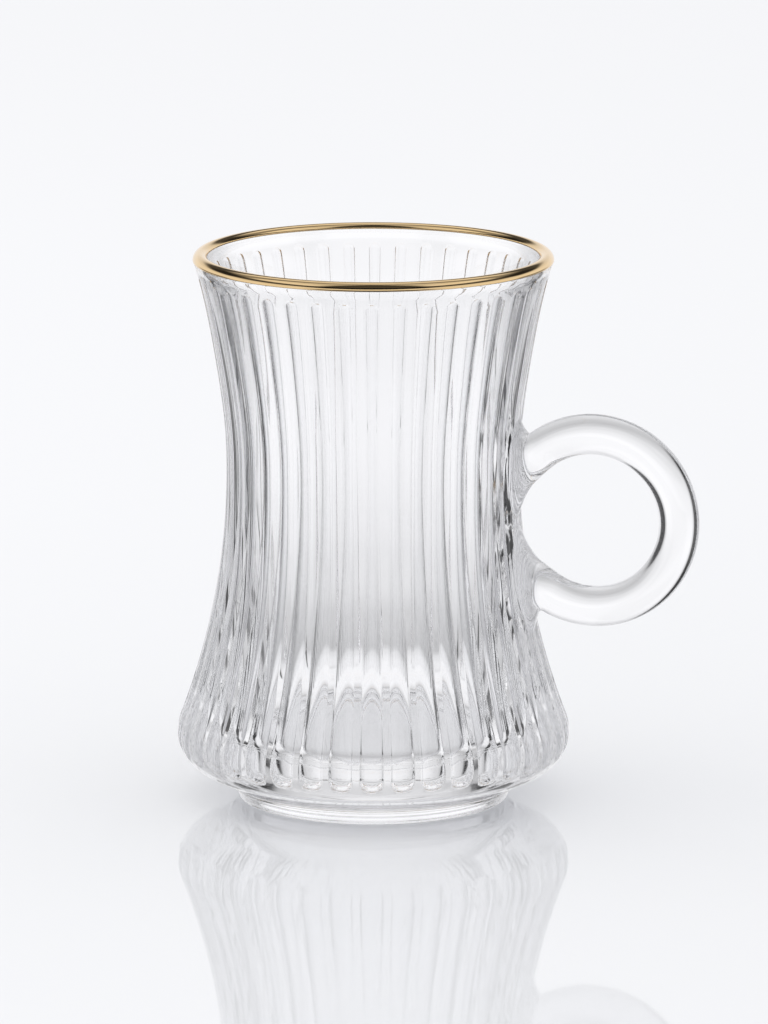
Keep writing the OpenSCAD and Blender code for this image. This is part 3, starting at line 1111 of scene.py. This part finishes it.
class CHAI_OT_handle(bpy.types.Operator):
    """Builds the ring handle and the two lands that join it to the wall"""

    bl_idname = "chai.handle"
    bl_label = "Ring handle and lands"

    def execute(self, context):
        s = context.scene
        wall, flutes, h, glass = Wall(s.chai_glass), s.chai_flutes, s.chai_handle, shared_looks()["glass"]
        make_ring(wall, h, glass)
        up, down = rod_end_angles(wall, h)
        upper, lower = land_patches(h)
        make_land("upper_land", "upper_handle_land", wall, flutes, h, glass, upper, up, 1)
        make_land("lower_land", "lower_handle_land", wall, flutes, h, glass, lower, -down, -1)
        return {"FINISHED"}


class CHAI_OT_gold(bpy.types.Operator):
    """Builds the fired gold band on the lip"""

    bl_idname = "chai.gold"
    bl_label = "Gold band"

    def execute(self, context):
        make_gold(Wall(context.scene.chai_glass), shared_looks()["gold"])
        return {"FINISHED"}


class CHAI_OT_stage(bpy.types.Operator):
    """Sets out the table, the soft studio light and the camera"""

    bl_idname = "chai.stage"
    bl_label = "Studio"

    def execute(self, context):
        scene = context.scene
        finish = scene.chai_finish
        corners = TABLE_HALF * np.array([[-1, -1, 0], [1, -1, 0], [1, 1, 0], [-1, 1, 0]])
        build_mesh("table", corners, [np.array([[0, 1, 2, 3]])], [pale_table(finish)])
        studio_world(finish)
        lamp = bpy.data.lights.new("key_box", "AREA")
        lamp.shape = "RECTANGLE"
        lamp.size, lamp.size_y = LAMP_SIZE
        lamp.energy = LAMP_POWER
        key = place_aimed("key_box", lamp, LAMP_PLACE, (0, 0, 0))
        key.visible_glossy = False
        key.visible_transmission = False
        cam = bpy.data.cameras.new("camera")
        cam.sensor_fit = "AUTO"
        cam.lens = LENS
        cam.clip_start, cam.clip_end = 0.05, 60
        cam.shift_x = SHIFT
        eye = (EYE_AWAY * math.sin(MAIN_AZIMUTH), -EYE_AWAY * math.cos(MAIN_AZIMUTH), EYE_UP)
        scene.camera = place_aimed("camera", cam, eye, (0, 0, AIM_UP))
        scene.view_settings.view_transform = "Standard"
        scene.cycles.max_bounces = BOUNCES
        scene.cycles.transmission_bounces = BOUNCES
        scene.cycles.transparent_max_bounces = BOUNCES
        scene.cycles.glossy_bounces = GLOSSY_BOUNCES
        return {"FINISHED"}


class CHAI_PT_panel(bpy.types.Panel):
    """Lists the glass's values and its pieces in the sidebar"""

    bl_idname = "CHAI_PT_panel"
    bl_label = "Chai Glass"
    bl_space_type = "VIEW_3D"
    bl_region_type = "UI"
    bl_category = "Chai Glass"

    def draw(self, context):
        s = context.scene
        for label, group in (
            ("Bowl and foot", s.chai_glass),
            ("Flutes", s.chai_flutes),
            ("Handle", s.chai_handle),
            ("Finish", s.chai_finish),
        ):
            box = self.layout.box()
            box.label(text=label)
            for key in group.bl_rna.properties.keys():
                if key not in ("rna_type", "name"):
                    box.prop(group, key)
        for op in PIECES:
            self.layout.operator(op.bl_idname)


GROUPS = {
    "chai_glass": GlassSizes,
    "chai_flutes": FluteSizes,
    "chai_handle": HandleSizes,
    "chai_finish": GlassFinish,
}
PIECES = (CHAI_OT_bowl, CHAI_OT_foot, CHAI_OT_handle, CHAI_OT_gold, CHAI_OT_stage)


def register():
    """Registers the property groups, the operators and the panel."""
    for key, group in GROUPS.items():
        bpy.utils.register_class(group)
        setattr(bpy.types.Scene, key, bpy.props.PointerProperty(type=group))
    for op in PIECES:
        bpy.utils.register_class(op)
    bpy.utils.register_class(CHAI_PT_panel)


def unregister():
    """Takes back what register() added."""
    bpy.utils.unregister_class(CHAI_PT_panel)
    for op in reversed(PIECES):
        bpy.utils.unregister_class(op)
    for key, group in reversed(GROUPS.items()):
        delattr(bpy.types.Scene, key)
        bpy.utils.unregister_class(group)


def main():
    """Builds every piece and the stage."""
    register()
    chai = bpy.ops.chai
    for build in (chai.bowl, chai.foot, chai.handle, chai.gold, chai.stage):
        build()


if __name__ == "__main__":
    main()
